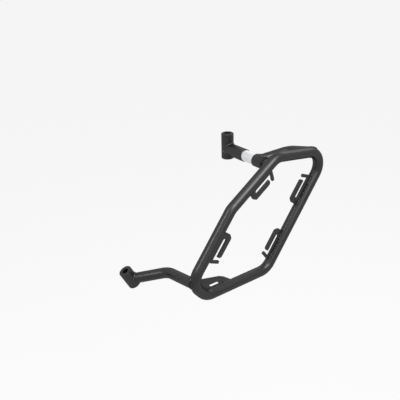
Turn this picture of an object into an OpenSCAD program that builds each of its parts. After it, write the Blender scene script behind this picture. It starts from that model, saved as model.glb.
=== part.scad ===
// Left-hand side carrier for a motorbike pannier: a bent steel tube ring with four strap hooks,
// carried by a lower arm with a bushing and an upper bracket with a bolted, sleeved swivel mount.
// Millimetres. X points to the front of the bike, Y outboard (to its left), Z up.
// The origin is the middle of the upper mount tube's bore.

/* [Tube] */
// Outer diameter of the frame tubes
tube_d = 18; // [15:0.5:20]
// Wall of the frame tubes
tube_wall = 2; // [1.5:0.1:2.5]
// Centre-line radius of every bend in the ring and in the lower arm
bend_r = 28; // [24:0.5:30]
// Diameter of the drain hole under the ring's lower tube
drain_d = 4; // [3:0.5:6]

/* [Ring] */
// Run of the upper front side, knee to front end of the top
shoulder_run = 95; // [85:1:105]
// Rise of the upper front side
shoulder_rise = 65.5; // [58:0.5:72]
// Run of the top side
top_run = 126; // [118:0.5:134]
// Drop of the top side towards the rear
top_drop = 17; // [12:0.5:22]
// Run of the rear side, forward from the rear corner
rear_run = 132.5; // [124:0.5:140]
// Drop of the rear side
rear_drop = 188; // [180:0.5:196]
// Run of the bottom side
bottom_run = 135.5; // [126:0.5:145]
// Drop of the bottom side towards the front
bottom_drop = 1; // [0:0.5:4]
// Run of the short nose side, from the bottom side up to the front side
nose_run = 31.5; // [28:0.5:35]
// Rise of the short nose side
nose_rise = 33; // [28:0.5:36]
// Angle by which the ring's rear turns in towards the bike
toe_in = 5.8; // [3:0.1:9]
// Angle by which the ring's foot leans in towards the bike
lean_in = 4.3; // [2:0.1:7]
// Place of the ring's front knee, forward of the upper mount
knee_x = 132.2; // [126:0.1:138]
// Place of the ring's front knee, outboard of the upper mount
knee_y = 188.3; // [184:0.1:193]
// Place of the ring's front knee, below the upper mount
knee_down = 31.7; // [28:0.1:36]

/* [Strap hooks] */
// Thickness of the hook plates
hook_t = 3.4; // [2.6:0.1:4.2]
// Distance of the hook plates outboard of the ring's middle plane
hook_out = 0.2; // [0.2:0.1:1.5]
// Length of a hook along its tube
hook_len = 55; // [53:0.5:58]
// Reach of a hook from the tube's centre line
hook_reach = 29.5; // [27.5:0.1:32]
// Depth of a hook's base strip, from the tube's centre line to its slot
hook_base = 14.3; // [13.2:0.1:15.2]
// Width of the strap slot between base strip and finger
hook_slot = 7.2; // [6:0.1:8]
// Length of the solid heel that joins finger and base strip
hook_heel = 10; // [8:0.5:12]
// Length of the finger along the tube
hook_finger = 41.5; // [39:0.5:43]
// Width of the prong that closes the far end
hook_prong = 4.3; // [3.6:0.1:6]
// Size of the snipped corner at the finger's tip
hook_snip = 3; // [2:0.5:4]
// Slant of the prong, away from the finger's tip at its root
hook_slant = 5; // [3:0.5:6.5]
// Distance of the heel from the knee on the front side
hook_front_at = 35; // [30:0.5:38]
// Distance of the heel from the knee on the upper front side
hook_shoulder_at = 41; // [36:0.5:44]
// Distance of the upper rear hook's heel from the rear corner
hook_rear_upper_at = 109; // [106:0.5:112]
// Distance of the lower rear hook's heel from the rear corner
hook_rear_lower_at = 158.5; // [154:0.5:160]
// Shift of the front hook's plate towards the middle of the ring
hook_front_shift = 1.8; // [0.5:0.1:2.5]
// Shift of the shoulder hook's plate towards the middle of the ring
hook_shoulder_shift = -0.9; // [-1.5:0.1:1]
// Shift of the upper rear hook's plate towards the middle of the ring
hook_rear_upper_shift = 1.4; // [0:0.1:2.5]
// Shift of the lower rear hook's plate towards the middle of the ring
hook_rear_lower_shift = -0.5; // [-1.5:0.1:1]

/* [Lower arm and bushing] */
// Height of the arm above the nose corner, where it leaves the ring
arm_rise = 1; // [0:0.5:4]
// Distance of the arm's axis behind the nose corner
arm_back = 3; // [1:0.5:6]
// Inboard length of the arm's first straight
arm_in = 73; // [65:1:80]
// Drop of the arm's first straight
arm_drop = 10; // [5:0.5:15]
// Forward reach of the arm's second straight, to the bushing
arm_fwd = 45; // [40:1:50]
// Inboard reach of the arm's second straight
arm_in_2 = 47; // [42:1:52]
// Drop of the arm's second straight
arm_drop_2 = 18; // [13:1:23]
// Outer diameter of the lower bushing
bush_d = 22; // [20:0.5:24]
// Bore of the lower bushing
bush_bore = 10.4; // [8.4:0.1:12.4]
// Length of the lower bushing
bush_len = 32.5; // [28:0.5:37]
// Slope of the bushing's axis, forward and up from level
bush_tilt = 60; // [52:1:68]
// Share of the bushing's length that stands above the arm's axis
bush_above = 0.63; // [0.56:0.01:0.68]

/* [Gusset] */
// Thickness of the nose gusset plate
gusset_t = 3; // [2.5:0.1:4]
// Slope of the gusset, inboard and up from level
gusset_tilt = 30; // [26:1:34]
// Length of the gusset along the bottom side, from its front corner
gusset_len = 60; // [55:1:70]
// Reach of the gusset from the bottom side's centre line, at its front
gusset_reach = 30; // [27:0.5:33]
// Reach of the gusset where its free edge turns down to the bottom side
gusset_reach_2 = 22.7; // [21:0.1:25]
// Length of the gusset's front part, which runs on under the arm
gusset_front = 22; // [18:1:26]
// Reach of the gusset's front corner, which meets the arm
gusset_horn = 40; // [36:0.5:42]
// Distance of the strap slot from the front corner
gusset_slot_from = 17; // [14:1:20]
// Length of the strap slot in the gusset
gusset_slot_l = 20; // [16:1:22]
// Width of the strap slot in the gusset
gusset_slot_w = 4.5; // [4.2:0.1:5]
// Distance of the slot from the bottom side's centre line
gusset_slot_at = 13.4; // [12.8:0.1:15]

/* [Upper bracket and boss] */
// Distance of the bracket's root behind the top side's front end
bracket_at = 90; // [84:1:96]
// Place of the bracket's elbow, behind the mount
elbow_back = 49; // [46:0.5:52]
// Place of the bracket's elbow, outboard of the mount
elbow_out = 115; // [112:0.5:118]
// Height of the bracket's elbow above the mount
elbow_up = 9.5; // [6:0.1:12]
// Centre-line radius of the bracket's bend
bracket_bend_r = 20; // [18:0.5:22]
// Outer diameter of the welded boss
boss_d = 23; // [22.5:0.5:25]
// Length of the welded boss
boss_len = 24; // [22:0.5:28]
// Height of the bracket's end above the boss's axis
bracket_lift = 4; // [3.2:0.1:5]

/* [Upper mount] */
// Outer diameter of the upright mount tube
mount_d = 22.8; // [21:0.2:25]
// Bore of the upright mount tube
mount_bore = 12.4; // [10.4:0.2:14.4]
// Length of the upright mount tube
mount_len = 48; // [44:0.5:52]
// Height of the mount tube's middle above the boss's axis
mount_rise = 5.5; // [3:0.5:8]
// Chamfer on the mount tube's ends
mount_chamfer = 1; // [0.5:0.1:1.4]
// Outer diameter of the cross tube
cross_d = 23; // [21:0.5:24]
// Length of the cross tube from the mount tube's axis
cross_len = 53; // [48:0.5:58]
// Outer diameter of the spacer sleeve
sleeve_d = 20; // [18:0.2:20.4]
// Bore of the spacer sleeve and the boss
bolt_bore = 10.6; // [10.4:0.1:11]
// Depth of the bolt's hole in the cross tube
bolt_hole = 34; // [30:1:36]
// Length of the spacer sleeve between cross tube and boss
sleeve_gap = 31.8; // [28:0.2:36]
// Depth of the counterbore that seats each end of the sleeve
sleeve_seat = 4; // [3:0.5:6]

/* [Clamp bolt] */
// Diameter of the clamp bolt's shank
bolt_d = 10; // [9:0.1:10.2]
// Length of the shank that holds in the cross tube
bolt_grip = 26; // [20:1:28]
// Width across flats of the bolt's head
hex_af = 17; // [16:0.5:18]
// Height of the bolt's head
head_h = 6.4; // [5:0.2:8]
// Diameter of the flat washer
washer_d = 21; // [20:0.5:22]
// Thickness of the flat washer
washer_t = 2; // [1.5:0.1:2.5]
// Diameter of the spring washer
spring_d = 17.6; // [16.5:0.1:18.4]
// Thickness of the spring washer
spring_t = 2.2; // [1.8:0.1:2.6]
// Width of the slit in the spring washer
spring_slit = 1.2; // [0.8:0.1:1.6]

/* [Hidden] */
$fn = 64;

black = [0.13, 0.13, 0.14];
zinc = [0.78, 0.79, 0.81];
slack = 0.3;
// Overlap of a straight with its bend, and the step in radius that goes with it
lap = 0.6;
seam = 0.05;
tube_r = tube_d / 2;
bore_r = tube_r - tube_wall;

// Corners of the ring's centre line in its own plane, from the front knee round by the rear
knee = [0, 0];
top_front = knee + [-shoulder_run, shoulder_rise];
top_rear = top_front + [-top_run, -top_drop];
bottom_rear = top_rear + [rear_run, -rear_drop];
bottom_front = bottom_rear + [bottom_run, -bottom_drop];
nose = bottom_front + [nose_run, nose_rise];
corners = [knee, top_front, top_rear, bottom_rear, bottom_front, nose];

// Directions of the ring's plane: along the bike, up, and outboard
along = [cos(toe_in), sin(toe_in), 0];
outward = [-sin(toe_in) * cos(lean_in), cos(toe_in) * cos(lean_in), -sin(lean_in)];
upward = cross(along, outward);
knee_at = [knee_x, knee_y, -knee_down];

function unit(v) = v / norm(v);
function in_ring(p) = knee_at + p[0] * along + p[1] * upward;
function basis(x, y, z, o) = [[x[0], y[0], z[0], o[0]], [x[1], y[1], z[1], o[1]], [x[2], y[2], z[2], o[2]],
    [0, 0, 0, 1]];
function side_of(d) = unit(cross(abs(d[2]) > 0.9 ? [1, 0, 0] : [0, 0, 1], d));
function tangent(a, p, b, r) = r * tan(acos(unit(p - a) * unit(b - p)) / 2);

// The upper boss, sleeve and cross tube share one level axis along Y
cross_z = -mount_rise;
cross_end = cross_len;
boss_in = cross_end + sleeve_gap;
boss_out = boss_in + boss_len;
washer_at = boss_out;
spring_at = washer_at + washer_t;
head_at = spring_at + spring_t;

// The lower arm's route: out of the nose corner, inboard, then forward to the bushing
arm_root = in_ring(nose + [-arm_back, arm_rise]);
arm_knee = arm_root + [0, -arm_in, -arm_drop];
arm_end = arm_knee + [arm_fwd, -arm_in_2, -arm_drop_2];
bush_dir = [cos(bush_tilt), 0, sin(bush_tilt)];

// The upper bracket's route: inboard from the top side, then forward to the boss
bracket_root = in_ring(top_front + bracket_at * unit(top_rear - top_front));
bracket_elbow = [-elbow_back, elbow_out, elbow_up];
bracket_end = [0, boss_in + boss_len / 2, cross_z + bracket_lift];

// A round bar between two points
module bar(a, b, r) {
    d = unit(b - a);
    x = side_of(d);
    multmatrix(basis(x, cross(d, x), d, a)) cylinder(h = norm(b - a), r = r);
}

// A straight between two bends: a hair slimmer than they are, with both ends run a little way into them
module straight(a, b, r) {
    d = unit(b - a);
    bar(a - lap * d, b + lap * d, r - seam);
}

// The bent corner of a round bar that turns at p on its way from a to b
module elbow(a, p, b, bend, r) {
    d = unit(p - a);
    axis = unit(cross(d, b - p));
    turn = acos(d * unit(b - p));
    x = -cross(axis, d);
    start = p - tangent(a, p, b, bend) * d;
    multmatrix(basis(x, d, axis, start - bend * x))
        rotate_extrude(angle = turn) translate([bend, 0]) circle(r = r);
}

// A bar from a by way of p to b, bent at p
module bent_bar(a, p, b, bend, r) {
    t = tangent(a, p, b, bend);
    straight(a, p - t * unit(p - a), r);
    elbow(a, p, b, bend, r);
    straight(p + t * unit(b - p), b, r);
}

// The closed ring, filled to the given radius
module ring(r) {
    n = len(corners);
    for (i = [0 : n - 1]) {
        a = in_ring(corners[(i + n - 1) % n]);
        p = in_ring(corners[i]);
        b = in_ring(corners[(i + 1) % n]);
        c = in_ring(corners[(i + 2) % n]);
        d = unit(b - p);
        elbow(a, p, b, bend_r, r);
        straight(p + tangent(a, p, b, bend_r) * d, b - tangent(p, b, c, bend_r) * d, r);
    }
}

module ring_tube() {
    drain = in_ring((bottom_rear + bottom_front) / 2);
    color(black) difference() {
        ring(tube_r);
        ring(bore_r);
        translate(drain - [0, 0, tube_r + 1]) cylinder(h = tube_r + 1, d = drain_d);
    }
}

// Outline of a strap hook: x runs along its tube from the heel, y from the tube's centre line
module hook_outline() {
    finger_in = hook_base + hook_slot;
    prong_x = hook_len - hook_prong - hook_slant;
    difference() {
        polygon([[0, 0], [0, finger_in], [hook_heel * 0.5, hook_reach],
            [hook_finger - hook_snip, hook_reach], [hook_finger, hook_reach - hook_snip],
            [hook_finger, hook_base], [prong_x, hook_base], [prong_x, hook_reach - 1.5],
            [prong_x + 1.5, hook_reach], [prong_x + hook_prong, hook_reach],
            [hook_len, hook_base], [hook_len, 0]]);
        translate([hook_heel + hook_slot / 2, hook_base])
            square([hook_finger - hook_heel - hook_slot / 2 + 1, hook_slot]);
        translate([hook_heel + hook_slot / 2, hook_base + hook_slot / 2]) circle(d = hook_slot);
    }
}

// A strap hook on the side from corner a towards corner b, its heel at a distance from a,
// with its prong towards b (way = 1) or back towards a (way = -1), shifted into the ring
module hook(a, b, at, way, shift) {
    run = unit(b - a);
    heel = in_ring(a + at * run);
    x = way * (run[0] * along + run[1] * upward);
    middle = (top_front + bottom_rear) / 2;
    turned = [-run[1], run[0]];
    inner = turned * (middle - a) > 0 ? turned : -turned;
    y = inner[0] * along + inner[1] * upward;
    z = cross(x, y);
    lift = z * outward > 0 ? hook_out : -hook_out;
    color(black) difference() {
        multmatrix(basis(x, y, z, heel)) translate([0, shift, lift - hook_t / 2])
            linear_extrude(hook_t) hook_outline();
        ring(tube_r);
    }
}

module hook_front() {
    hook(knee, nose, hook_front_at, 1, hook_front_shift);
}

module hook_shoulder() {
    hook(knee, top_front, hook_shoulder_at, 1, hook_shoulder_shift);
}

module hook_rear_upper() {
    hook(top_rear, bottom_rear, hook_rear_upper_at, -1, hook_rear_upper_shift);
}

module hook_rear_lower() {
    hook(top_rear, bottom_rear, hook_rear_lower_at, 1, hook_rear_lower_shift);
}

// The gusset lies along the bottom side, in the corner that the arm makes with it
module nose_gusset() {
    corner = in_ring(bottom_front);
    back = unit(in_ring(bottom_rear) - corner);
    rise = [0, -cos(gusset_tilt), sin(gusset_tilt)];
    y = unit(rise - (rise * back) * back);
    slot_r = gusset_slot_w / 2;
    color(black) difference() {
        multmatrix(basis(back, y, cross(back, y), corner)) translate([0, 0, -gusset_t / 2])
            linear_extrude(gusset_t) difference() {
                polygon([[0, 0], [-gusset_front, gusset_horn], [gusset_len * 0.2, gusset_reach],
                    [gusset_len * 0.74, gusset_reach_2], [gusset_len * 0.86, gusset_reach_2 * 0.82],
                    [gusset_len, tube_r], [gusset_len, 0]]);
                translate([gusset_slot_from + slot_r, gusset_slot_at]) circle(r = slot_r);
                translate([gusset_slot_from + gusset_slot_l - slot_r, gusset_slot_at]) circle(r = slot_r);
                translate([gusset_slot_from + slot_r, gusset_slot_at - slot_r])
                    square([gusset_slot_l - gusset_slot_w, gusset_slot_w]);
            }
        ring(tube_r);
        bent_bar(arm_root, arm_knee, arm_end, bend_r, tube_r);
    }
}

module lower_arm() {
    color(black) difference() {
        bent_bar(arm_root, arm_knee, arm_end, bend_r, tube_r);
        bent_bar(arm_root, arm_knee, arm_end, bend_r, bore_r);
        ring(tube_r);
        bar(arm_end - bush_len * bush_dir, arm_end + bush_len * bush_dir, bush_d / 2);
    }
}

module lower_bushing() {
    top = arm_end + bush_above * bush_len * bush_dir;
    foot = top - bush_len * bush_dir;
    color(black) difference() {
        bar(foot, top, bush_d / 2);
        bar(foot - bush_dir, top + bush_dir, bush_bore / 2);
    }
}

module upper_bracket() {
    color(black) difference() {
        bent_bar(bracket_root, bracket_elbow, bracket_end, bracket_bend_r, tube_r);
        bent_bar(bracket_root, bracket_elbow, bracket_end, bracket_bend_r, bore_r);
        ring(tube_r);
        on_cross_axis(boss_in - 1, boss_out + 1, boss_d);
        on_cross_axis(boss_out, head_at + head_h + slack, washer_d + 2 * slack);
    }
}

// A round bar on the cross axis from y1 to y2
module on_cross_axis(y1, y2, d) {
    translate([0, y1, cross_z]) rotate([-90, 0, 0]) cylinder(h = y2 - y1, d = d);
}

module upper_boss() {
    color(black) difference() {
        on_cross_axis(boss_in, boss_out, boss_d);
        on_cross_axis(boss_in - 1, boss_out + 1, bolt_bore);
        on_cross_axis(boss_in - 1, boss_in + sleeve_seat, sleeve_d + slack);
    }
}

module spacer_sleeve() {
    color(zinc) difference() {
        on_cross_axis(cross_end - sleeve_seat, boss_in + sleeve_seat, sleeve_d);
        on_cross_axis(cross_end - sleeve_seat - 1, boss_in + sleeve_seat + 1, bolt_bore);
    }
}

module cross_tube() {
    color(black) difference() {
        on_cross_axis(0, cross_end, cross_d);
        cylinder(h = 2 * mount_len, d = mount_d, center = true);
        on_cross_axis(cross_end - bolt_hole, cross_end + 1, bolt_d + slack);
        on_cross_axis(cross_end - sleeve_seat, cross_end + 1, sleeve_d + slack);
    }
}

// The upright tube that drops over the bike's stud, with both rims chamfered
module mount_tube() {
    half = mount_len / 2;
    r = mount_d / 2;
    color(black) rotate_extrude() polygon([[mount_bore / 2, -half], [r - mount_chamfer, -half],
        [r, mount_chamfer - half], [r, half - mount_chamfer],
        [r - mount_chamfer, half], [mount_bore / 2, half]]);
}

module clamp_bolt() {
    color(zinc) {
        on_cross_axis(cross_end - bolt_grip, head_at, bolt_d);
        translate([0, head_at, cross_z]) rotate([-90, 0, 0])
            cylinder(h = head_h, r = hex_af / 2 / cos(30), $fn = 6);
    }
}

module flat_washer() {
    color(zinc) difference() {
        on_cross_axis(washer_at, spring_at, washer_d);
        on_cross_axis(washer_at - 1, spring_at + 1, bolt_bore);
    }
}

module spring_washer() {
    color(zinc) difference() {
        on_cross_axis(spring_at, head_at, spring_d);
        on_cross_axis(spring_at - 1, head_at + 1, bolt_bore);
        translate([0, spring_at - 1, cross_z]) cube([spring_d, spring_t + 2, spring_slit]);
    }
}

ring_tube();
hook_front();
hook_shoulder();
hook_rear_upper();
hook_rear_lower();
nose_gusset();
lower_arm();
lower_bushing();
upper_bracket();
upper_boss();
spacer_sleeve();
cross_tube();
mount_tube();
clamp_bolt();
flat_washer();
spring_washer();
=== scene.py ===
# %% [markdown]
# This script dresses the left-hand pannier frame of a motorbike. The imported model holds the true
# shapes and sizes. Here they get their finishes, their welds, a studio and a camera.
# The frame stands in metres: X to the front of the bike, Y outboard, Z up, and the origin is
# the middle of the upper mount tube's bore.

# %% Load the frame
import math
import random

import bpy
from mathutils import Matrix, Vector
from mathutils.bvhtree import BVHTree


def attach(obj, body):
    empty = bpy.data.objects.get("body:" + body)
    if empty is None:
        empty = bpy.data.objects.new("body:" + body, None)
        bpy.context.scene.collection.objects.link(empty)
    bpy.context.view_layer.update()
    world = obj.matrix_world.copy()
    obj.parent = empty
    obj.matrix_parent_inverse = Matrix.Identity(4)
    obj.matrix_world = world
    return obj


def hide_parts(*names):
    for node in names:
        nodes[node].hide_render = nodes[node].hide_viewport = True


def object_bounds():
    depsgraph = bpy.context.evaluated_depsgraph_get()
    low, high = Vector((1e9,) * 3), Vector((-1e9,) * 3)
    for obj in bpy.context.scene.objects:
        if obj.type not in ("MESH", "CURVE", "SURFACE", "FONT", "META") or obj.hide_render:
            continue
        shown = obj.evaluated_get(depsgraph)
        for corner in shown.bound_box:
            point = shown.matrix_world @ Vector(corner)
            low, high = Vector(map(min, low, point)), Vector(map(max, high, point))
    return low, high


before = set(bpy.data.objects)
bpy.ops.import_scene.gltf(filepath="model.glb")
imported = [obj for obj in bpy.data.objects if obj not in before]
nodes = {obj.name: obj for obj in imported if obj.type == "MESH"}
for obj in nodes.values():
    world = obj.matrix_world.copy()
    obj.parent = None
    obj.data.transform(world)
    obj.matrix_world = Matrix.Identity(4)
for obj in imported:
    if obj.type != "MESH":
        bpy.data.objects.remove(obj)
cad_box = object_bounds()
print("nodes:", ", ".join(sorted(nodes)))

# %% [markdown]
# Shader maths could be built node by node, but it reads best as plain expressions. The class Flow
# wraps one socket, and each operator adds the Math node that does it. Reflected forms let a number
# stand first, as in 1 - mask. Every other node comes from add_node, where a socket is given by its
# name, or by its number, as in _0, where two sockets share a name.

# %% One class for shader maths
class Flow:
    """A socket's value in a node tree, with the operators of arithmetic."""

    def __init__(self, tree, socket):
        self.tree, self.socket = tree, socket

    def add_node(self, kind, settings=(), **sockets):
        """Adds a node, sets its settings first and then its sockets, and returns the node."""
        node = self.tree.nodes.new(kind)
        for name, value in dict(settings).items():
            setattr(node, name, value)
        for name, value in sockets.items():
            key = int(name[1:]) if name[0] == "_" else name.replace("_", " ")
            if isinstance(value, Flow):
                self.tree.links.new(value.socket, node.inputs[key])
            else:
                node.inputs[key].default_value = value
        return node

    def out(self, node, name=0):
        """One output of a node, wrapped."""
        return Flow(self.tree, node.outputs[name])

    def maths(self, operation, a, b):
        return self.out(self.add_node("ShaderNodeMath", {"operation": operation}, _0=a, _1=b))

    def __add__(self, other):
        return self.maths("ADD", self, other)

    def __sub__(self, other):
        return self.maths("SUBTRACT", self, other)

    def __mul__(self, other):
        return self.maths("MULTIPLY", self, other)

    def __rsub__(self, other):
        return self.maths("SUBTRACT", other, self)

    __radd__ = __add__
    __rmul__ = __mul__


print("Flow adds, subtracts and multiplies")

# %% [markdown]
# Every finish starts the same way: a Principled shader, and the object's own coordinates, which
# are metres here. Image textures would need unwrapped pieces and would show their seams, so all that
# varies over a finish is worked out from the place itself.

# %% Start a finish
def new_finish(name):
    """A material with its shader, and the object coordinates to build on."""
    material = bpy.data.materials.new(name)
    material.use_nodes = True
    tree = material.node_tree
    shader = tree.nodes["Principled BSDF"]
    place = Flow(tree, tree.nodes.new("ShaderNodeTexCoord").outputs["Object"])
    return material, shader, place


def feed(shader, name, value):
    """Links a wrapped value to one of the shader's sockets."""
    value.tree.links.new(value.socket, shader.inputs[name])


def grey(level, blue=1.0):
    """A grey as a colour, which may lean to blue."""
    return (level, level, level * blue, 1)


print("a grey with a touch of blue:", grey(0.5, 1.06))

# %% [markdown]
# No real finish is even. Noise gives it patches, with sizes in millimetres, as a maker would measure
# them, and the patches mix two colours or raise a ripple. A ripple far finer than a tube is drawn by
# a Bump node, for which geometry would need millions of faces. A Bevel node under it rounds the
# light on sharp edges, as the skin of a coat does.

# %% Grain, colour and ripple
MM_PER_METRE = 1000
SOFT_EDGE = 0.0005


def grain(place, size_mm, detail=2.0):
    """Noise whose patches are about this many millimetres wide."""
    node = place.add_node("ShaderNodeTexNoise", {"noise_dimensions": "3D"}, Vector=place,
                          Scale=MM_PER_METRE / size_mm, Detail=detail, Roughness=0.5)
    return place.out(node, "Fac")


def between(place, mask, low, high):
    """A colour that goes from low to high with the mask."""
    node = place.add_node("ShaderNodeMix", {"data_type": "RGBA"}, _0=mask, _6=low, _7=high)
    return place.out(node, 2)


def bumped(place, shader, height, strength, distance_mm):
    """Feeds a height in shares of distance_mm to the shader's normal, over edges rounded by the finish."""
    soft_edge = place.add_node("ShaderNodeBevel", {"samples": 6}, Radius=SOFT_EDGE)
    node = place.add_node("ShaderNodeBump", Strength=strength, Distance=distance_mm / MM_PER_METRE,
                          Height=height, Normal=place.out(soft_edge))
    place.tree.links.new(node.outputs["Normal"], shader.inputs["Normal"])


print("edges look rounded by", SOFT_EDGE * MM_PER_METRE, "mm")

# %% [markdown]
# Towards a tube's outline the coat is faded to a matt black. This dark rim is painted shade, not a
# property of the coat. One shader can't lose its sheen with the angle, so Layer Weight leads a Mix
# Shader from the coat to the black.

# %% Paint shade on the rim
RIM_FROM, RIM_TO, RIM_SHADE_SHARE = 0.22, 0.88, 0.80
PAINTED_SHADE_BLACK = (0.0035, 0.0035, 0.0037, 1)


def paint_rim_shade(material, shader, place):
    """Fades the shader to matt black, as painted shade, where the surface turns away from the eye."""
    facing = place.out(place.add_node("ShaderNodeLayerWeight", Blend=0.5), "Facing")
    share = place.out(place.add_node("ShaderNodeMapRange", {"interpolation_type": "SMOOTHSTEP"},
                                     _0=facing, _1=RIM_FROM, _2=RIM_TO, _3=0.0, _4=RIM_SHADE_SHARE))
    # The matt black that the rim fades to is painted shade.
    matt = place.add_node("ShaderNodeBsdfPrincipled", Base_Color=PAINTED_SHADE_BLACK, Roughness=1.0,
                          Specular_IOR_Level=0.0)
    both = place.add_node("ShaderNodeMixShader", _0=share, _1=Flow(place.tree, shader.outputs[0]),
                          _2=place.out(matt))
    output = place.tree.nodes["Material Output"]
    place.tree.links.new(both.outputs[0], output.inputs["Surface"])


print("the rim is up to", RIM_SHADE_SHARE, "matt")

# %% [markdown]
# Powder coat is sprayed as dry plastic dust and then baked, so it flows into a skin with a soft
# orange-peel ripple about two millimetres wide and a much finer grain in it. It is black, but never
# the same black all over, so slow clouds and the grain shift its tone and its gloss. Its highlights
# have a bright core and a wide, soft skirt, which takes two lobes of gloss: the shader's own and its
# coat layer. Over a weld the coat ripples more, and it is a little greyer and glossier.

# %% Black powder coat
RIPPLE_MM, GRAIN_MM, CLOUD_MM = 2.4, 0.35, 38.0
COAT_DARK, COAT_PALE, COAT_BLUE = 0.0032, 0.0062, 1.06
CORE_SHARE, CORE_ROUGHNESS = 0.38, 0.30


def powder_coat(name, peel=0.12, tint=1.0, sheen=0.24, roughness=0.42):
    material, shader, place = new_finish(name)
    ripple = grain(place, RIPPLE_MM, detail=3.0)
    fine = grain(place, GRAIN_MM)
    cloud = grain(place, CLOUD_MM)
    feed(shader, "Base Color", between(place, cloud * 0.6 + fine * 0.4, grey(COAT_DARK * tint, COAT_BLUE),
                                       grey(COAT_PALE * tint, COAT_BLUE)))
    feed(shader, "Roughness", roughness + 0.08 * (cloud - 0.5) + 0.08 * (fine - 0.5))
    bumped(place, shader, ripple * 0.8 + fine * 0.2, peel, 0.10)
    shader.inputs["Specular IOR Level"].default_value = sheen
    shader.inputs["Coat Weight"].default_value = CORE_SHARE
    shader.inputs["Coat Roughness"].default_value = CORE_ROUGHNESS
    # Painted shade: the coat fades to matt black towards its outline.
    paint_rim_shade(material, shader, place)
    return material


coat = powder_coat("black_powder_coat")
weld_coat = powder_coat("coated_weld", peel=0.4, tint=2.0, sheen=0.36, roughness=0.36)
print("made", coat.name, "and", weld_coat.name)

# %% [markdown]
# The spacer sleeve, the bolt and the washers are zinc plated steel. Zinc on turned steel is a bright,
# faintly blue grey with fine rings from the lathe, and it dulls in clouds where it was handled. The
# rings could be grooves in the mesh, but they are too fine to see one by one, so a wave texture
# ripples the surface. The bolt and its washers have black zinc and sink into the black of the frame.

# %% Zinc plate
HANDLED_MM, CRYSTAL_MM, RINGS_PER_METRE = 7.0, 0.5, 420.0


def zinc_plate(name, low, high, rings):
    material, shader, place = new_finish(name)
    cloud = grain(place, HANDLED_MM, detail=4.0)
    fine = grain(place, CRYSTAL_MM)
    feed(shader, "Base Color", between(place, cloud, low, high))
    shader.inputs["Metallic"].default_value = 1.0
    feed(shader, "Roughness", 0.42 + 0.18 * (cloud - 0.5) + 0.08 * (fine - 0.5))
    if rings:
        wave = place.add_node("ShaderNodeTexWave", {"wave_type": "BANDS", "bands_direction": "Y"},
                              Vector=place, Scale=RINGS_PER_METRE, Distortion=0.6, Detail=1.0)
        bumped(place, shader, place.out(wave, "Fac") * 0.6 + fine * 0.4, 0.35, 0.04)
    else:
        bumped(place, shader, fine, 0.3, 0.04)
    return material


turned_zinc = zinc_plate("turned_zinc", (0.62, 0.63, 0.645, 1), (0.80, 0.80, 0.81, 1), rings=True)
black_zinc = zinc_plate("black_zinc", (0.045, 0.045, 0.048, 1), (0.075, 0.075, 0.080, 1), rings=False)
print("made", turned_zinc.name, "and", black_zinc.name)

# %% [markdown]
# The CAD nodes keep their shape and place and only change their finish. The nodes share each finish,
# so a user of the part can swap the black coat or the zinc in one move.

# %% Finish the CAD nodes
def paint(piece, material):
    """Gives a piece one finish."""
    piece.data.materials.clear()
    piece.data.materials.append(material)


for name, piece in nodes.items():
    if name == "spacer_sleeve":
        paint(piece, turned_zinc)
    elif name in ("clamp_bolt", "flat_washer", "spring_washer"):
        paint(piece, black_zinc)
    else:
        paint(piece, coat)
print("painted", len(nodes), "nodes")

# %% [markdown]
# The hooks and the welds need to know where the ring runs. Its centre line lies in one plane that
# leans and turns in a little, so the corners are given in that plane, as steps in millimetres from
# the front knee round by the rear, and brought into the frame.

# %% Where the ring runs
TUBE_R = 0.009
TOE_IN, LEAN_IN = math.radians(5.8), math.radians(4.3)
KNEE_AT = Vector((0.1322, 0.1883, -0.0317))
RING_STEPS = {"knee": (0, 0), "top_front": (-95, 65.5), "top_rear": (-126, -17),
              "bottom_rear": (132.5, -188), "bottom_front": (135.5, -1), "nose": (31.5, 33)}
along = Vector((math.cos(TOE_IN), math.sin(TOE_IN), 0))
outward = Vector((-math.sin(TOE_IN) * math.cos(LEAN_IN), math.cos(TOE_IN) * math.cos(LEAN_IN),
                  -math.sin(LEAN_IN)))
upward = along.cross(outward)
corner, here = {}, Vector((0, 0))
for name, step in RING_STEPS.items():
    here = here + Vector(step) / MM_PER_METRE
    corner[name] = here.copy()


def in_ring(p):
    """A point of the ring's plane, in the frame."""
    return KNEE_AT + p[0] * along + p[1] * upward


for name, p in corner.items():
    print(name, [round(v * MM_PER_METRE, 1) for v in in_ring(p)])

# %% [markdown]
# A strap hook is laser cut from plate and then coated, so its corners are round to the touch. The CAD
# plate is sharp, so a copy of it with rounded corners and rims stands in for it. A corner could be a
# true arc, but a quadratic curve from one side to the other can't be told from it at this size, and
# it fits any angle.

# %% Round a corner
def rounded(corners, steps=5):
    """A closed outline from points and radii, with each corner as a curve of about its radius."""
    made = []
    points = [Vector(point) for point, radius in corners]
    for i, (_, radius) in enumerate(corners):
        p, a, b = points[i], points[i - 1], points[(i + 1) % len(points)]
        if not radius:
            made.append(p)
            continue
        u, v = (a - p).normalized(), (b - p).normalized()
        reach = min(radius / math.tan(u.angle(v) / 2), (a - p).length * 0.48, (b - p).length * 0.48)
        start, end = p + u * reach, p + v * reach
        for k in range(steps + 1):
            t = k / steps
            made.append((1 - t) ** 2 * start + 2 * t * (1 - t) * p + t * t * end)
    return made


square = [((x, y), 0.1) for x, y in ((0, 0), (1, 0), (1, 1), (0, 1))]
print("a square with round corners has", len(rounded(square)), "points")

# %% [markdown]
# The plate is extruded from its outline, and a Bevel modifier, applied at once, rounds both rims.
# Its angle limit picks out the sharp edges, so the flat faces and the curved corners stay as they are.

# %% Cut a plate
RIM_R = 0.00055


def axes_at(x, y, z, at):
    """The matrix that puts local x, y and z along these directions, with its origin at a point."""
    return Matrix(((x.x, y.x, z.x, at.x), (x.y, y.y, z.y, at.y), (x.z, y.z, z.z, at.z), (0, 0, 0, 1)))


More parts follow.
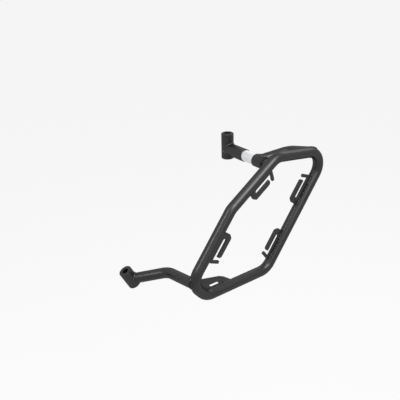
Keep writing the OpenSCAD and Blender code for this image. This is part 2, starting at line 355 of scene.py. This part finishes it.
def plate(name, outline, thickness, matrix):
    """An extruded outline with rounded rims, placed by the matrix."""
    n, half = len(outline), thickness / 2
    vertices = [(p.x, p.y, -half) for p in outline] + [(p.x, p.y, half) for p in outline]
    faces = [list(range(n))[::-1], list(range(n, 2 * n))]
    faces += [[i, (i + 1) % n, n + (i + 1) % n, n + i] for i in range(n)]
    mesh = bpy.data.meshes.new(name)
    mesh.from_pydata(vertices, [], faces)
    piece = bpy.data.objects.new(name, mesh)
    bpy.context.scene.collection.objects.link(piece)
    rim = piece.modifiers.new("rim", "BEVEL")
    rim.width, rim.segments, rim.limit_method, rim.angle_limit = RIM_R, 3, "ANGLE", math.radians(60)
    bpy.context.view_layer.update()
    shaped = bpy.data.meshes.new_from_object(piece.evaluated_get(bpy.context.evaluated_depsgraph_get()))
    piece.modifiers.clear()
    piece.data = shaped
    shaped.transform(matrix)
    shaped.shade_smooth()
    shaped.set_sharp_from_angle(angle=math.radians(35))
    return piece


print("plates have rims of", RIM_R * MM_PER_METRE, "mm")

# %% [markdown]
# Seen from its face, a strap hook is a base strip along the tube, a finger beside it, and the heel
# that joins them. The strap lies in the slot between strip and finger, and a slanting prong at the
# far end keeps it there. The outline is drawn once, x along the tube from the heel and y from the
# tube's centre line, and each corner has the radius that rounds it.

# %% Draw a strap hook
HOOK_T, HOOK_LEN, HOOK_REACH, HOOK_BASE, HOOK_SLOT = 0.0034, 0.055, 0.0300, 0.0143, 0.0068
HEEL, FINGER, PRONG, SLANT = 0.010, 0.0422, 0.0053, 0.0042
INSIDE_WALL = 0.0078
SLOT_STEPS = 8


def hook_outline(shift):
    """The hook's outline from inside the tube's wall outwards, with its slot open at the mouth."""
    root, slot_r = INSIDE_WALL - shift, HOOK_SLOT / 2
    slot_end = HEEL + slot_r
    near, tip = HOOK_LEN - PRONG, HOOK_LEN - PRONG - SLANT
    heel_and_finger = [
        ((0, root), 0), ((0, HOOK_BASE + 0.0090), 0.002), ((HEEL * 0.5, HOOK_REACH), 0.002),
        ((FINGER - 0.0038, HOOK_REACH), 0.002), ((FINGER - 0.0008, HOOK_REACH - 0.0022), 0.002),
        ((FINGER, HOOK_REACH - 0.0060), 0.004), ((FINGER - 0.0006, HOOK_BASE + HOOK_SLOT), 0.0006)]
    slot = []
    for k in range(SLOT_STEPS + 1):
        a = math.radians(90 + 180 * k / SLOT_STEPS)
        slot.append(((slot_end + slot_r * math.cos(a), HOOK_BASE + slot_r * (1 + math.sin(a))), 0))
    prong = [
        ((near, HOOK_BASE), 0.0012), ((tip, HOOK_REACH - 0.0020), 0.0016),
        ((tip + 0.0013, HOOK_REACH + 0.0004), 0.0016), ((tip + PRONG, HOOK_REACH + 0.0004), 0.0007),
        ((HOOK_LEN, HOOK_BASE), 0.002), ((HOOK_LEN + 0.0008, root), 0)]
    return rounded(heel_and_finger + slot + prong)


print("hook outline has", len(hook_outline(0)), "points")

# %% [markdown]
# Two hooks sit along the ring's front and two along its rear, and all of them reach into the ring.
# Each is seated by three directions: x along its tube, y into the ring, and z out of its plane. Some
# of the plates face the other way round, so z is worked out from x and y, and the lift follows it.
# The row of a hook gives the side that it sits on, its heel's distance from that side's start, which
# way the prong points, and how far the plate is shifted into the ring, in millimetres.

# %% Set the four hooks
HOOK_ROWS = {"hook_front": ("knee", "nose", 35, 1, 1.8),
             "hook_shoulder": ("knee", "top_front", 41, 1, -0.9),
             "hook_rear_upper": ("top_rear", "bottom_rear", 109, -1, 1.4),
             "hook_rear_lower": ("top_rear", "bottom_rear", 158.5, 1, -0.5)}
HOOK_OUT = 0.0002
hook_seats = {}
for name, (start, end, at, way, shift) in HOOK_ROWS.items():
    a, b = corner[start], corner[end]
    run = (b - a).normalized()
    ring_middle = (corner["top_front"] + corner["bottom_rear"]) / 2
    turned = Vector((-run.y, run.x))
    inner = turned if turned.dot(ring_middle - a) > 0 else -turned
    x = way * (run.x * along + run.y * upward)
    y = inner.x * along + inner.y * upward
    z = x.cross(y)
    lift = HOOK_OUT if z.dot(outward) > 0 else -HOOK_OUT
    heel = in_ring(a + at / MM_PER_METRE * run)
    seat = axes_at(x, y, z, heel + y * shift / MM_PER_METRE + z * lift)
    piece = plate("plate_" + name, hook_outline(shift / MM_PER_METRE), HOOK_T, seat)
    paint(piece, coat)
    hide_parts(name)
    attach(piece, "root")
    hook_seats[name] = (heel, x, y, z, lift)
    print(piece.name, len(piece.data.polygons), "faces")

# %% [markdown]
# Every joint on the real frame is a weld under the coat: a raised bead of overlapping puddles, like a
# row of fallen coins. A seam is known only by scattered points, so they are first turned into a path
# of short, even steps. Then each puddle gets as many steps as the next.

# %% Even steps along a seam
def even_path(points, closed, step):
    """Points at even steps along a line or loop."""
    ends = list(points) + ([points[0]] if closed else [])
    lengths = [0.0]
    for a, b in zip(ends, ends[1:]):
        lengths.append(lengths[-1] + (b - a).length)
    count = max(6, round(lengths[-1] / step))
    made, k = [], 0
    for i in range(count + (0 if closed else 1)):
        s = lengths[-1] * i / count
        while k < len(lengths) - 2 and lengths[k + 1] < s:
            k += 1
        t = (s - lengths[k]) / max(lengths[k + 1] - lengths[k], 1e-9)
        made.append(ends[k].lerp(ends[k + 1], t))
    return made


print("10 mm in 1 mm steps:", len(even_path([Vector((0, 0, 0)), Vector((0.01, 0, 0))], False, 0.001)))

# %% [markdown]
# A hand never lays a bead of one size. Two waves, each with its share of the radius and its radians
# per metre, make it a little fatter here and thinner there, and an open bead tapers at its ends.

# %% How thick a bead is
SLOW_WANDER, FAST_WANDER = (0.07, 900), (0.05, 2300)


def bead_size(s, radius, length, closed, starts):
    """The bead's radius at a distance along it."""
    size = radius * (1 + SLOW_WANDER[0] * math.sin(s * SLOW_WANDER[1] + starts[0])
                     + FAST_WANDER[0] * math.sin(s * FAST_WANDER[1] + starts[1]))
    if not closed:
        end = min(s, length - s) / (radius * 1.2)
        size *= math.sqrt(max(0.04, 1 - max(0.0, 1 - end) ** 2))
    return size


print("a 2 mm bead starts at", round(bead_size(0, 2, 20, False, (0, 0)), 2), "mm")

# %% [markdown]
# A bead is swept along the path as rings of points. The radius swells once for every puddle, sooner
# on one side of the bead than on the other, which curves the ripples as a cooling puddle leaves them.
# A curve with a bevel would be quicker to write, but its ripples would be straight rings.

# %% Lay a weld bead
STEP, SIDES = 0.00035, 10
PUDDLE_LOW, PUDDLE_SWELL, PUDDLE_CURVE = 0.86, 0.14, 0.35


def bead(name, points, closed, radius, seed, puddle=0.0016):
    """A rippled bead along the points, riding on the frame."""
    rng = random.Random(seed)
    path = even_path(points, closed, STEP)
    n = len(path)
    starts = [rng.uniform(0, 6.283) for _ in range(2)]
    vertices, faces, normal = [], [], None
    for i, p in enumerate(path):
        before = path[i - 1] if closed or i else p
        after = path[(i + 1) % n] if closed or i < n - 1 else p
        d = (after - before).normalized()
        if normal is None:
            normal = d.orthogonal().normalized()
        normal = (normal - normal.dot(d) * d).normalized()
        other = d.cross(normal)
        s = i * STEP
        size = bead_size(s, radius, (n - 1) * STEP, closed, starts)
        for k in range(SIDES):
            a = 2 * math.pi * k / SIDES
            phase = (s + radius * PUDDLE_CURVE * math.cos(a)) / puddle
            swell = PUDDLE_LOW + PUDDLE_SWELL * abs(math.sin(math.pi * phase))
            vertices.append(p + size * swell * (math.cos(a) * normal + math.sin(a) * other))
        if i or closed:
            last, this = (i - 1) % n * SIDES, i * SIDES
            faces += [[last + k, last + (k + 1) % SIDES, this + (k + 1) % SIDES, this + k]
                      for k in range(SIDES)]
    if not closed:
        faces += [list(range(SIDES))[::-1], list(range((n - 1) * SIDES, n * SIDES))]
    mesh = bpy.data.meshes.new(name)
    mesh.from_pydata(vertices, [], faces)
    mesh.shade_smooth()
    piece = bpy.data.objects.new(name, mesh)
    bpy.context.scene.collection.objects.link(piece)
    paint(piece, weld_coat)
    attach(piece, "root")
    return piece


print("a bead has", SIDES, "points round and a ring of them every", STEP * MM_PER_METRE, "mm")

# %% [markdown]
# A tube that is coped onto another meets it along a saddle curve. It needs no formula: rays are sent
# along the tube's skin towards the part that it meets, and where they strike is the seam.

# %% Find the seam of a coped tube
surface = {}


def skin(name):
    """A search tree over one CAD node's surface."""
    if name not in surface:
        mesh = nodes[name].data
        surface[name] = BVHTree.FromPolygons([v.co.copy() for v in mesh.vertices],
                                             [tuple(p.vertices) for p in mesh.polygons])
    return surface[name]


def coped_seam(start, end, radius, target, count=96, reach=0.05):
    """The loop where a tube from start towards end meets the target."""
    length = (end - start).length
    d = (end - start).normalized()
    u = d.orthogonal().normalized()
    v = d.cross(u)
    hits = []
    for i in range(count):
        a = 2 * math.pi * i / count
        origin = start + radius * (math.cos(a) * u + math.sin(a) * v)
        spot = skin(target).ray_cast(origin, d, length + reach)[0]
        hits.append(spot if spot is not None else skin(target).find_nearest(origin + d * length)[0])
    return hits


print("the ring's skin has", len(nodes["ring_tube"].data.polygons), "faces to strike")

# %% [markdown]
# The lower arm leaves the ring's nose inboard, bends forward and ends on the bushing. The bracket
# does the same between the top side and the boss, and the cross tube stands on the mount tube. Each
# seam is looked for from a point partway along the last straight before it.

# %% Weld the tubes
SEAM_BEAD_R = 0.0017
ARM_FROM_NOSE = Vector((-0.003, 0.001))
ARM_FIRST, ARM_SECOND = Vector((0, -0.073, -0.010)), Vector((0.045, -0.047, -0.018))
BRACKET_AT = 0.090
BRACKET_ELBOW, BRACKET_END = Vector((-0.049, 0.115, 0.0095)), Vector((0, 0.0968, -0.0015))
CROSS_R, CROSS_OUT, CROSS_END = 0.0114, Vector((0, 0.04, -0.0055)), Vector((0, 0, -0.0055))

arm_root = in_ring(corner["nose"] + ARM_FROM_NOSE)
arm_knee = arm_root + ARM_FIRST
arm_end = arm_knee + ARM_SECOND
top_run = (corner["top_rear"] - corner["top_front"]).normalized()
bracket_root = in_ring(corner["top_front"] + BRACKET_AT * top_run)
seams = {
    "weld_arm_ring": (arm_knee.lerp(arm_root, 0.45), arm_root, TUBE_R, "ring_tube"),
    "weld_arm_bushing": (arm_knee.lerp(arm_end, 0.45), arm_end, TUBE_R, "lower_bushing"),
    "weld_bracket_ring": (BRACKET_ELBOW.lerp(bracket_root, 0.4), bracket_root, TUBE_R, "ring_tube"),
    "weld_bracket_boss": (BRACKET_ELBOW.lerp(BRACKET_END, 0.5), BRACKET_END, TUBE_R, "upper_boss"),
    "weld_cross_mount": (CROSS_OUT, CROSS_END, CROSS_R, "mount_tube"),
}
for i, (name, (start, end, radius, target)) in enumerate(seams.items()):
    piece = bead(name, coped_seam(start, end, radius, target), True, SEAM_BEAD_R, seed=i + 1)
    print(name, len(piece.data.polygons), "faces")

# %% [markdown]
# Plates are not welded all round, which would warp them, but tacked with short stitches. A stitch
# lies where the plate's face leaves the tube's skin. That is as far from the tube's axis as its
# radius, less what the face stands off the axis, by Pythagoras. A hook has them at its heel and at
# its prong, on both faces.

# %% Stitch the hooks
STITCH_PUDDLE = 0.0017
HOOK_STITCH_R, GUSSET_STITCH_R = 0.0012, 0.0013


def stitch(name, where, foot, x, y, z, level, spans, radius, seed):
    """Short beads along x where a plate's face, at a level along z, leaves the tube's skin."""
    depth = math.sqrt(TUBE_R ** 2 - level ** 2)
    for tag, (s0, s1) in spans.items():
        line = [foot + x * s + y * depth + z * level for s in (s0, (s0 + s1) / 2, s1)]
        bead(f"stitch_{name}_{tag}_{where}", line, False, radius, seed, puddle=STITCH_PUDDLE)


for i, (name, (heel, x, y, z, lift)) in enumerate(hook_seats.items()):
    for side, where in ((-1, "in"), (1, "out")):
        stitch(name, where, heel, x, y, z, side * HOOK_T / 2 + lift,
               {"heel": (0.001, 0.015), "prong": (0.040, 0.054)}, HOOK_STITCH_R, 40 + i * 4 + side)
print("stitched", len(hook_seats), "hooks")

# %% [markdown]
# The gusset lies in a plane that slopes 30 degrees inboard and up from the bottom side. It is tacked
# above and below, at both ends of its run along that side.

# %% Stitch the gusset
GUSSET_T, GUSSET_TILT = 0.003, math.radians(30)
foot = in_ring(corner["bottom_front"])
backward = (in_ring(corner["bottom_rear"]) - foot).normalized()
slope = Vector((0, -math.cos(GUSSET_TILT), math.sin(GUSSET_TILT)))
slope = (slope - slope.dot(backward) * backward).normalized()
for side, where in ((-1, "under"), (1, "over")):
    stitch("gusset", where, foot, backward, slope, backward.cross(slope), side * GUSSET_T / 2,
           {"front": (0.018, 0.032), "rear": (0.044, 0.058)}, GUSSET_STITCH_R, 70 + side)
print("stitched the gusset")

# %% [markdown]
# The studio is plain: a pale floor well below the frame and a pale world round it. Strong light could
# turn both white, but it would bleach the frame too. So they are white only to the rays of the camera
# and of reflections, which Light Path tells apart. The floor keeps a tenth of its own shading, and
# with it the frame's soft shadow.

# %% The floor
FLOOR_SIZE, FLOOR_DROP, FLOOR_GREY, SHOWN_SHARE = 60, 0.55, 0.86, 0.90


def seen_share(flow):
    """1 for the rays of the camera, of reflections and through glass, and 0 for those that light."""
    path = flow.tree.nodes.new("ShaderNodeLightPath")
    seen = flow.maths("MAXIMUM", flow.out(path, "Is Camera Ray"), flow.out(path, "Is Glossy Ray"))
    return flow.maths("MAXIMUM", seen, flow.out(path, "Is Transmission Ray"))


pale, shader, place = new_finish("pale_floor")
feed(shader, "Base Color", between(place, grain(place, 900.0), grey(FLOOR_GREY), grey(FLOOR_GREY * 1.01)))
shader.inputs["Roughness"].default_value = 0.9
shader.inputs["Specular IOR Level"].default_value = 0.1
shaded = Flow(pale.node_tree, shader.outputs[0])
glow = shaded.add_node("ShaderNodeEmission", Color=grey(1.0), Strength=1.0)
both = shaded.add_node("ShaderNodeMixShader", _0=seen_share(shaded) * SHOWN_SHARE, _1=shaded,
                       _2=shaded.out(glow))
pale.node_tree.links.new(both.outputs[0], pale.node_tree.nodes["Material Output"].inputs["Surface"])
bpy.ops.mesh.primitive_plane_add(size=FLOOR_SIZE, location=(0, 0, cad_box[0].z - FLOOR_DROP))
floor = bpy.context.object
floor.name = "floor"
floor.data.materials.append(pale)
print("floor at", round(floor.location.z, 3))

# %% [markdown]
# As a lamp the world is dim, so that it only lifts the shadows. To the eye and in reflections it is
# nearly white, which is what a black coat mirrors in a studio.

# %% The world
WORLD_LAMP, WORLD_SHOWN = 0.12, 0.925
world = bpy.data.worlds.new("studio")
world.use_nodes = True
bpy.context.scene.world = world
world.node_tree.nodes.clear()
sky = Flow(world.node_tree, None)
lamp = sky.add_node("ShaderNodeBackground", Color=grey(1.0), Strength=WORLD_LAMP)
shown = sky.add_node("ShaderNodeBackground", Color=grey(WORLD_SHOWN), Strength=1.0)
mix = sky.add_node("ShaderNodeMixShader", _0=seen_share(sky), _1=sky.out(lamp), _2=sky.out(shown))
sky.add_node("ShaderNodeOutputWorld", Surface=sky.out(mix))
print("world shown at", WORLD_SHOWN)

# %% [markdown]
# A black tube is drawn by what it reflects, so its highlights say where the lamps stood: each lies
# where the tube mirrors a lamp to the camera. Six softboxes follow from that. The key box, high
# outboard, draws the bright stripe along the upper front tube, and the low box the line down the rear
# side. The front box lights the arm and the lower front, the rear box the top side, and the top and
# back boxes only soften the rest. Each row has a box's direction, its width and height, and its watts.

# %% The softboxes
LAMP_DISTANCE = 1.5
SOFTBOXES = {
    "key_box": ((0.02, 0.69, 0.72), (0.86, 0.74), 24),
    "low_box": ((0.12, 0.94, 0.32), (0.45, 0.60), 3.4),
    "top_box": ((0.30, 0.20, 0.93), (0.96, 0.90), 4),
    "rear_box": ((-0.79, -0.15, 0.59), (1.10, 0.40), 4),
    "front_box": ((0.80, 0.12, 0.58), (0.50, 0.50), 8),
    "back_box": ((-0.42, -0.74, 0.46), (0.90, 0.60), 1.0),
}
middle = (cad_box[0] + cad_box[1]) / 2
for name, (direction, (width, height), watts) in SOFTBOXES.items():
    data = bpy.data.lights.new(name, "AREA")
    data.shape, data.size, data.size_y, data.energy = "RECTANGLE", width, height, watts
    lamp = bpy.data.objects.new(name, data)
    toward = Vector(direction).normalized()
    lamp.location = middle + toward * LAMP_DISTANCE
    lamp.rotation_mode = "QUATERNION"
    lamp.rotation_quaternion = toward.to_track_quat("Z", "Y")
    bpy.context.scene.collection.objects.link(lamp)
    print(name, "radiance", round(watts / (math.pi * width * height), 2))

# %% [markdown]
# The camera was solved from the photograph, which fixes the lens and where it stood. It looks down
# from outboard and ahead, with a slight roll. Aiming it at a target would leave out the roll, so its
# axes are worked out from three angles.

# %% The camera
AZIMUTH, ELEVATION, ROLL = math.radians(146.25), math.radians(22.04), math.radians(-1.65)
LENS_MM, SENSOR_MM, SEES_TO = 66.15, 36.0, 100
STANDS_AT = Vector((0.76229, 1.04434, 0.41621))
back = Vector((math.sin(AZIMUTH) * math.cos(ELEVATION), -math.cos(AZIMUTH) * math.cos(ELEVATION),
               math.sin(ELEVATION)))
level = Vector((math.cos(AZIMUTH), math.sin(AZIMUTH), 0))
upright = back.cross(level)
right = level * math.cos(ROLL) + upright * math.sin(ROLL)
up = upright * math.cos(ROLL) - level * math.sin(ROLL)
camera_data = bpy.data.cameras.new("camera")
camera_data.lens, camera_data.sensor_width, camera_data.clip_end = LENS_MM, SENSOR_MM, SEES_TO
camera = bpy.data.objects.new("camera", camera_data)
camera.matrix_world = axes_at(right, up, back, STANDS_AT)
bpy.context.scene.collection.objects.link(camera)
bpy.context.scene.camera = camera
bpy.context.scene.view_settings.view_transform = "Standard"
print("camera at", [round(v, 3) for v in STANDS_AT])

# %% [markdown]
# Last, the CAD box is printed, so that the dressed frame can be set against it.

# %% Print the CAD box
print("cad box", [[round(x, 4) for x in v] for v in cad_box])
